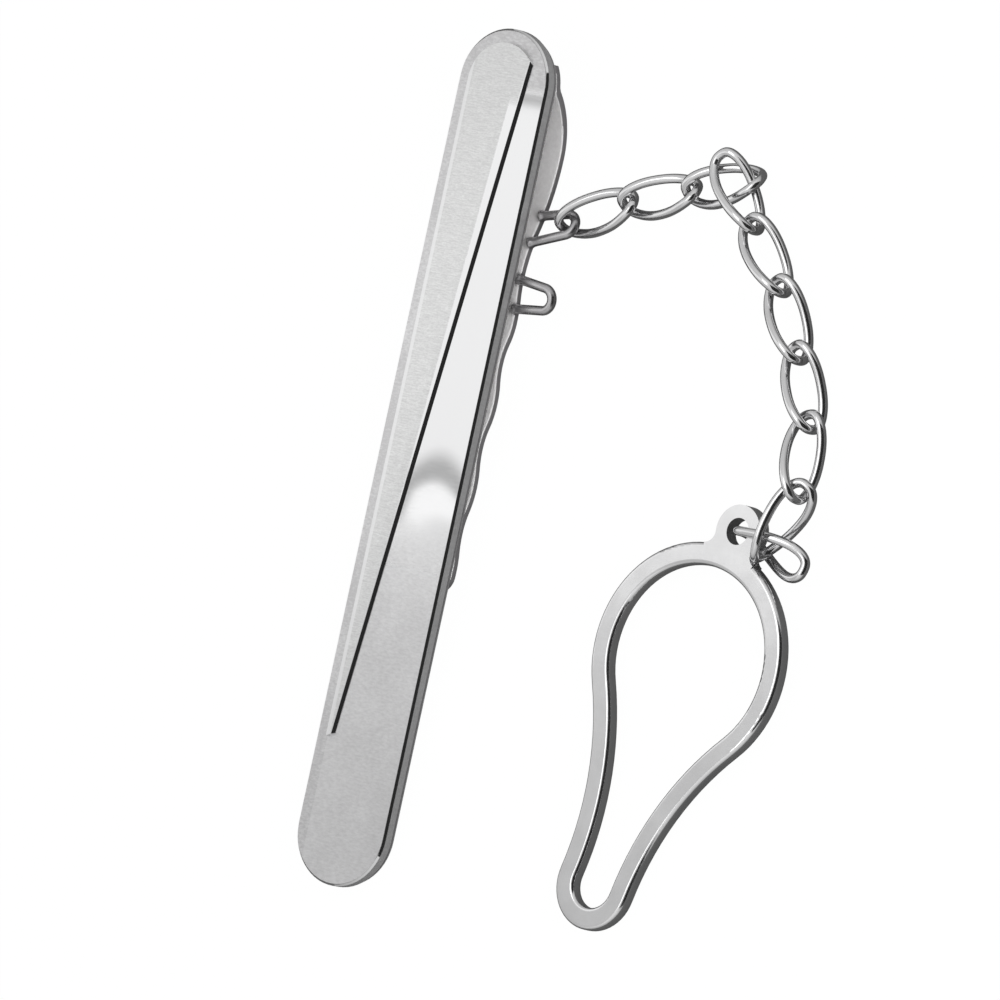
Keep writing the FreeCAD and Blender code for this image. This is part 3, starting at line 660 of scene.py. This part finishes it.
def wire_ring(line, radius, closed=False):
    """Round wire along a line: each point gets a circle square to the line, started from the
    direction away from the line's middle."""
    if closed:
        step = np.roll(line, -1, axis=0) - np.roll(line, 1, axis=0)
    else:
        step = np.gradient(line, axis=0)
    step /= np.linalg.norm(step, axis=1, keepdims=True)
    out = line - line.mean(axis=0)
    out -= np.sum(out * step, axis=1, keepdims=True) * step
    out /= np.linalg.norm(out, axis=1, keepdims=True)
    side = np.cross(step, out)
    angle = np.linspace(0, 2 * math.pi, WIRE_SIDES, endpoint=False)[None, :, None]
    ring = out[:, None, :] * np.cos(angle) + side[:, None, :] * np.sin(angle)
    return line[:, None, :] + ring * np.reshape(radius, (-1, 1, 1))


def link_line(sizes):
    """Closed centre line of a twisted link, in even steps: a superellipse whose half axes are half
    the link's length and half its width, less half the wire, turned about X by an angle that grows
    evenly along X to the full twist at either end."""
    half = (sizes.link_length - sizes.wire) / 2
    bend = (sizes.link_width - sizes.wire) / 2
    angle = np.linspace(0, 2 * math.pi, OVAL_STEPS)
    along, across = np.cos(angle), np.sin(angle)
    x = half * np.sign(along) * np.abs(along) ** (2 / sizes.link_power)
    y = bend * np.sign(across) * np.abs(across) ** (2 / sizes.link_power)
    turn = -math.radians(sizes.link_twist) * x / half
    line = np.stack([x, y * np.cos(turn), y * np.sin(turn)], axis=-1)
    run = np.concatenate([[0], np.cumsum(np.linalg.norm(np.diff(line, axis=0), axis=1))])
    even = np.linspace(0, run[-1], LINK_STEPS, endpoint=False)
    return np.stack([np.interp(even, run, line[:, axis]) for axis in range(3)], axis=-1)


def chain_places(sizes, bow_centre):
    """Middle and turn of each link: each link leaves its joint at half a pitch and lies on the
    table by its lowest point, or a rise above it; the corner link hangs on the side of the link
    before it, and the last one lies across the end of the link before it."""
    line = link_line(sizes)
    half_pitch = (sizes.link_length - 2 * sizes.wire - sizes.slack) / 2
    places = []
    heading = FIRST_HEADING
    joint = bow_centre + BOW_PLAY * heading_way(heading)
    for number, (turn, roll, dip, rise, ahead, aside) in enumerate(LINK_POSES, start=1):
        before = heading_way(heading)
        left = np.array([-before[1], before[0], 0])
        heading += turn
        along = heading_way(heading)
        back = half_pitch
        if number == CORNER_LINK:
            joint = places[-1][0] + CORNER_AHEAD * before + CORNER_ASIDE * left
        elif number == EYE_LINK:
            joint = places[-1][0] + EYE_AHEAD * before
            back = EYE_BACK
        elif number > 1:
            joint = places[-1][0] + (half_pitch + ahead) * before + aside * left
        lowest = (line @ turn_matrix(0, dip, roll).T)[:, 2].min()
        middle = joint + along * back
        middle[2] = TABLE + sizes.wire / 2 + TABLE_GAP - lowest + rise
        places.append((middle, turn_matrix(heading, dip, roll)))
    return places


def bow_line(sizes, pull):
    """Centre line of a bow in its own plane and the centre of its tip: a straight leg, a round tip
    that both legs touch, and a second leg; pull moves the tip aside."""
    half = sizes.bow_span / 2
    reach = sizes.bow_reach - sizes.wire / 2 - sizes.bow_tip
    centre = np.array([pull, -reach])
    leans, meets = [], []
    for side in (1, -1):
        aside = half - side * pull
        lean = math.acos(sizes.bow_tip / math.hypot(aside, reach)) - math.atan2(reach, aside)
        leans.append(-lean if side == 1 else lean - math.pi)
        meets.append(centre + sizes.bow_tip * np.array([side * math.cos(lean), -math.sin(lean)]))
    share = np.linspace(0, 1, LEG_STEPS)[:, None] ** LEG_CROWDING
    first = np.array([half, BOW_ROOT]) * (1 - share) + meets[0] * share
    second = (np.array([-half, BOW_ROOT]) * (1 - share) + meets[1] * share)[::-1]
    tip = arc_points(centre, sizes.bow_tip, leans[0], leans[1], TIP_STEPS)
    flat = np.concatenate([first[:-1], tip, second[1:]])
    return np.column_stack([flat, np.zeros(len(flat))]), np.array([*centre, 0.0])


def bow_seat(middle_x, sizes):
    """Place of a bow: on the strip's near edge, lying in the strip's slope there."""
    line = strip_line(sizes.strip_thick / 2)[::-1]
    half = sizes.bow_span / 2
    low = np.interp(middle_x - half, line[:, 0], line[:, 1])
    high = np.interp(middle_x + half, line[:, 0], line[:, 1])
    slope = math.degrees(math.atan2(low - high, 2 * half))
    turn = turn_matrix(0, slope, 0)
    seat = np.array([middle_x, -sizes.strip_width / 2, (low + high) / 2])
    return LIE @ (seat + turn @ np.array([0, 0, BOW_LIFT])), LIE @ turn


class CLIP_OT_bows(bpy.types.Operator):
    """Make the two wire bows, each flared where it is soldered to the strip's edge"""

    bl_idname = "clip.bows"
    bl_label = "Wire bows"

    def execute(self, context):
        sizes = context.scene.clip_sizes
        finish = context.scene.clip_finishes
        # Painted shade: the bows' clouds run far into the dark tarnish colour, for the shade under
        # the bar.
        plating = polished_silver(
            "bow_plating_painted_shade", finish, rough=0.24, spread=0.12, dull=0.88, wear_and_shade=finish.tarnish_and_shade)
        for name, node, middle_x, pull in BOWS:
            line = bow_line(sizes, pull)[0]
            solder = FLARE * np.exp(-(line[:, 1] / FLARE_REACH) ** 2)
            points = wire_ring(line, sizes.wire / 2 * (1 + solder))
            points = capped(points, (line[0], line[-1]))
            place, turn = bow_seat(middle_x, sizes)
            bow = smooth_mesh(name, points @ turn.T + place, close_columns=True)
            dress(bow, plating)
            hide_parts(node)
            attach(bow, "tongue")
        return {"FINISHED"}


class CLIP_OT_links(bpy.types.Operator):
    """Make the ten twisted wire links in their places along the chain"""

    bl_idname = "clip.links"
    bl_label = "Chain links"

    def execute(self, context):
        sizes = context.scene.clip_sizes
        finish = context.scene.clip_finishes
        plating = polished_silver(
            "link_plating", finish, rough=0.1, spread=0.08, dull=0.5, wear_and_shade=finish.satin)
        ring = wire_ring(link_line(sizes), sizes.wire / 2, closed=True)
        seat, lie = bow_seat(CHAIN_BOW_X, sizes)
        bow_centre = seat + lie @ bow_line(sizes, CHAIN_BOW_PULL)[1]
        for number, (middle, turn) in enumerate(chain_places(sizes, bow_centre), start=1):
            link = smooth_mesh(f"wire_link_{number:02d}", ring @ turn.T + middle,
                               close_rows=True, close_columns=True)
            dress(link, plating)
            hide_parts(f"chain_link_{number:02d}")
            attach(link, f"link_{number:02d}")
        return {"FINISHED"}


class CLIP_OT_loop(bpy.types.Operator):
    """Finish the pear-shaped button loop"""

    bl_idname = "clip.loop"
    bl_label = "Button loop"

    def execute(self, context):
        finish = context.scene.clip_finishes
        plating = polished_silver(
            "loop_plating", finish, rough=0.12, spread=0.06, dull=0.4, wear_and_shade=finish.satin)
        dress(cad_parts["button_loop"], plating)
        return {"FINISHED"}


# Stage


def flat_sheet(name, middle, first, second):
    """A flat sheet of four corners: its middle plus and minus half of each of two edges."""
    u, v = np.meshgrid([-0.5, 0.5], [-0.5, 0.5], indexing="ij")
    points = middle + u[..., None] * first + v[..., None] * second
    return smooth_mesh(name, points)


def stage_card(name, middle, wide, tall, greys, arch=0.0, crown=0.0, lean=0.0):
    """A flat reflector seen only in the metal: a sheet square to its direction from the clip, with
    a glow that runs through the greys along X. With d the height on the card above the crown, held
    to BEND_HEIGHT either way, arch d^2 is added to X up to where ARCH_X fades it out, and lean d is
    taken from X at the low end, before LEAN_X fades it out."""
    middle = np.array(middle)
    side = np.array([1.0, 0, 0])
    rise = np.cross(-middle / np.linalg.norm(middle), side)
    card = flat_sheet(name, middle, wide * side, tall * rise)
    material, tree = new_material(name + "_glow")
    output = add_node(tree, "ShaderNodeOutputMaterial", (400, 0))
    glow = add_node(tree, "ShaderNodeEmission", (200, 0))
    coords = add_node(tree, "ShaderNodeTexCoord", (-600, 0)).outputs["Object"]
    ramp = add_node(tree, "ShaderNodeValToRGB", (-100, 0))
    x = split_axes(tree, coords, (-400, 0))[0]
    height = along_way(tree, coords, tuple(rise), (-600, -200))
    near_crown = ((crown - BEND_HEIGHT) * MM, (crown + BEND_HEIGHT) * MM)
    above = between(tree, height, near_crown, (-BEND_HEIGHT * MM, BEND_HEIGHT * MM), (-500, -350))
    arched = combine(tree, "MULTIPLY", combine(tree, "MULTIPLY", above, above, (-400, -350)),
                     between(tree, x, ARCH_X, (arch / MM, 0.0), (-500, -500)), (-320, -400))
    leant = combine(tree, "MULTIPLY", above,
                    between(tree, x, LEAN_X, (-lean, 0.0), (-500, -650)), (-400, -650))
    bent = combine(tree, "ADD", arched, leant, (-250, -500))
    moved = combine(tree, "ADD", x, bent, (-320, -150))
    ends = ((middle[0] - wide / 2) * MM, (middle[0] + wide / 2) * MM)
    tree.links.new(between(tree, moved, ends, (0, 1), (-250, 0)), ramp.inputs["Fac"])
    while len(ramp.color_ramp.elements) < len(greys):
        ramp.color_ramp.elements.new(0.5)
    for element, (place, grey) in zip(ramp.color_ramp.elements, greys):
        element.position = place
        element.color = (grey, grey, grey, 1)
    tree.links.new(ramp.outputs["Color"], glow.inputs["Color"])
    tree.links.new(glow.outputs["Emission"], output.inputs["Surface"])
    dress(card, material)
    card.visible_camera = False
    card.visible_diffuse = False
    card.visible_shadow = False
    card.visible_transmission = False


class CLIP_OT_stage(bpy.types.Operator):
    """Make the table top, the lights, the cards and the camera"""

    bl_idname = "clip.stage"
    bl_label = "Stage"

    def execute(self, context):
        scene = context.scene
        scene.view_settings.view_transform = "Standard"
        self.floor()
        self.world(scene)
        self.lamps(scene)
        self.cards()
        self.camera(scene)
        return {"FINISHED"}

    def floor(self):
        """White table top; the camera sees most of its white directly, so the shadow is faint."""
        middle = np.array([0, 0, TABLE + TABLE_LIFT])
        top = flat_sheet("table_top", middle, np.array([2 * TABLE_HALF, 0, 0]),
                         np.array([0, 2 * TABLE_HALF, 0]))
        material, tree = new_material("table_white")
        output = add_node(tree, "ShaderNodeOutputMaterial", (400, 0))
        mixed = add_node(tree, "ShaderNodeMixShader", (200, 0))
        paper = add_node(tree, "ShaderNodeBsdfDiffuse", (0, -100))
        paper.inputs["Color"].default_value = PAPER
        white = add_node(tree, "ShaderNodeEmission", (0, -250))
        white.inputs["Strength"].default_value = PAPER_GLOW
        ray = add_node(tree, "ShaderNodeLightPath", (-600, 100)).outputs
        seen = combine(tree, "MULTIPLY", ray["Is Camera Ray"], SEEN_SHARE, (-400, 200))
        mirrored = combine(
            tree, "ADD", ray["Is Glossy Ray"], ray["Is Transmission Ray"], (-400, 50))
        mirrored = combine(tree, "MULTIPLY", mirrored, MIRRORED_SHARE, (-300, 50))
        share = combine(tree, "MAXIMUM", seen, mirrored, (-150, 100))
        tree.links.new(share, mixed.inputs["Fac"])
        tree.links.new(paper.outputs["BSDF"], mixed.inputs[1])
        tree.links.new(white.outputs["Emission"], mixed.inputs[2])
        tree.links.new(mixed.outputs["Shader"], output.inputs["Surface"])
        dress(top, material)

    def world(self, scene):
        """Soft light from all round, a little brighter from above, and white behind the object."""
        world = bpy.data.worlds.new("studio")
        world.use_nodes = True
        tree = world.node_tree
        tree.nodes.clear()
        output = add_node(tree, "ShaderNodeOutputWorld", (600, 0))
        back = add_node(tree, "ShaderNodeBackground", (400, 0))
        coords = add_node(tree, "ShaderNodeTexCoord", (-600, 0))
        ray = add_node(tree, "ShaderNodeLightPath", (-200, 300))
        z = split_axes(tree, coords.outputs["Generated"], (-400, 0))[2]
        sky = between(tree, z, SKY_Z, SKY_LEVELS, (-200, 0))
        level = combine(tree, "MAXIMUM", sky, ray.outputs["Is Camera Ray"], (0, 100))
        tree.links.new(level, back.inputs["Strength"])
        tree.links.new(back.outputs["Background"], output.inputs["Surface"])
        scene.world = world

    def lamps(self, scene):
        """A broad lamp above and behind the bar, and a low fill from the chain's side for the
        frosted faces."""
        for name, place, wide, tall, watts, mirrored in LAMPS:
            lamp = bpy.data.lights.new(name, "AREA")
            lamp.shape = "RECTANGLE"
            lamp.size = wide
            lamp.size_y = tall
            lamp.energy = watts
            holder = bpy.data.objects.new(name, lamp)
            holder.location = place
            holder.rotation_mode = "QUATERNION"
            holder.rotation_quaternion = (-holder.location).to_track_quat("-Z", "Y")
            holder.visible_glossy = mirrored
            scene.collection.objects.link(holder)

    def cards(self):
        """A dark card on the camera's side for the bevels and wires, and a shaded card on the far
        side."""
        stage_card("dark_card", (0, -168, 109), 270, 245, DARK_GREYS)
        stage_card("far_card", (-2.2, 33.9, 43.3), 150, 90, FAR_GREYS,
                   arch=0.38, crown=1.9, lean=1.2)

    def camera(self, scene):
        """Long lens from the chain's side, 52 degrees up, with the bar running up the picture."""
        sine, cosine = math.sin(VIEW_ANGLE), math.cos(VIEW_ANGLE)
        away = LIE @ np.array([0, -sine, cosine])
        near = LIE @ np.array([0, -cosine, -sine])
        along = LIE @ np.array([1.0, 0, 0])
        right = LEAN_SINE * along + LEAN_COSINE * near
        up = LEAN_COSINE * along - LEAN_SINE * near
        target = LIE @ np.array([0, 0, FACE]) + MIDDLE_RIGHT * right + MIDDLE_UP * up
        lens = bpy.data.cameras.new("camera")
        lens.lens = FOCAL_LENGTH
        lens.sensor_width = SENSOR
        lens.clip_start = CLIP_NEAR
        lens.clip_end = CLIP_FAR
        distance = PICTURE_WIDTH * FOCAL_LENGTH / SENSOR
        view = bpy.data.objects.new("camera", lens)
        pose = Matrix([list(right), list(up), list(away)]).transposed().to_4x4()
        pose.translation = Vector((target + away * distance) * MM)
        view.matrix_world = pose
        scene.collection.objects.link(view)
        scene.camera = view


class CLIP_PT_panel(bpy.types.Panel):
    """Sidebar panel with the sizes, the finishes and the steps"""

    bl_idname = "CLIP_PT_panel"
    bl_label = "Tie clip"
    bl_space_type = "VIEW_3D"
    bl_region_type = "UI"
    bl_category = "Tie clip"

    def draw(self, context):
        layout = self.layout
        for group in (context.scene.clip_sizes, context.scene.clip_finishes):
            column = layout.column()
            for name in group.bl_rna.properties.keys():
                if name not in {"rna_type", "name"}:
                    column.prop(group, name)
        for operator in STEPS:
            layout.operator(operator.bl_idname)


STEPS = (
    CLIP_OT_plates, CLIP_OT_strip, CLIP_OT_bows, CLIP_OT_links, CLIP_OT_loop, CLIP_OT_stage,
)
CLASSES = (ClipSizes, ClipFinishes) + STEPS + (CLIP_PT_panel,)


def register():
    """Register the classes and hang the property groups on the scene."""
    for item in CLASSES:
        bpy.utils.register_class(item)
    bpy.types.Scene.clip_sizes = bpy.props.PointerProperty(type=ClipSizes)
    bpy.types.Scene.clip_finishes = bpy.props.PointerProperty(type=ClipFinishes)


def unregister():
    """Undo register."""
    del bpy.types.Scene.clip_finishes
    del bpy.types.Scene.clip_sizes
    for item in reversed(CLASSES):
        bpy.utils.unregister_class(item)


def main():
    """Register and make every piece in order."""
    register()
    bpy.ops.clip.plates()
    bpy.ops.clip.strip()
    bpy.ops.clip.bows()
    bpy.ops.clip.links()
    bpy.ops.clip.loop()
    bpy.ops.clip.stage()


if __name__ == "__main__":
    main()
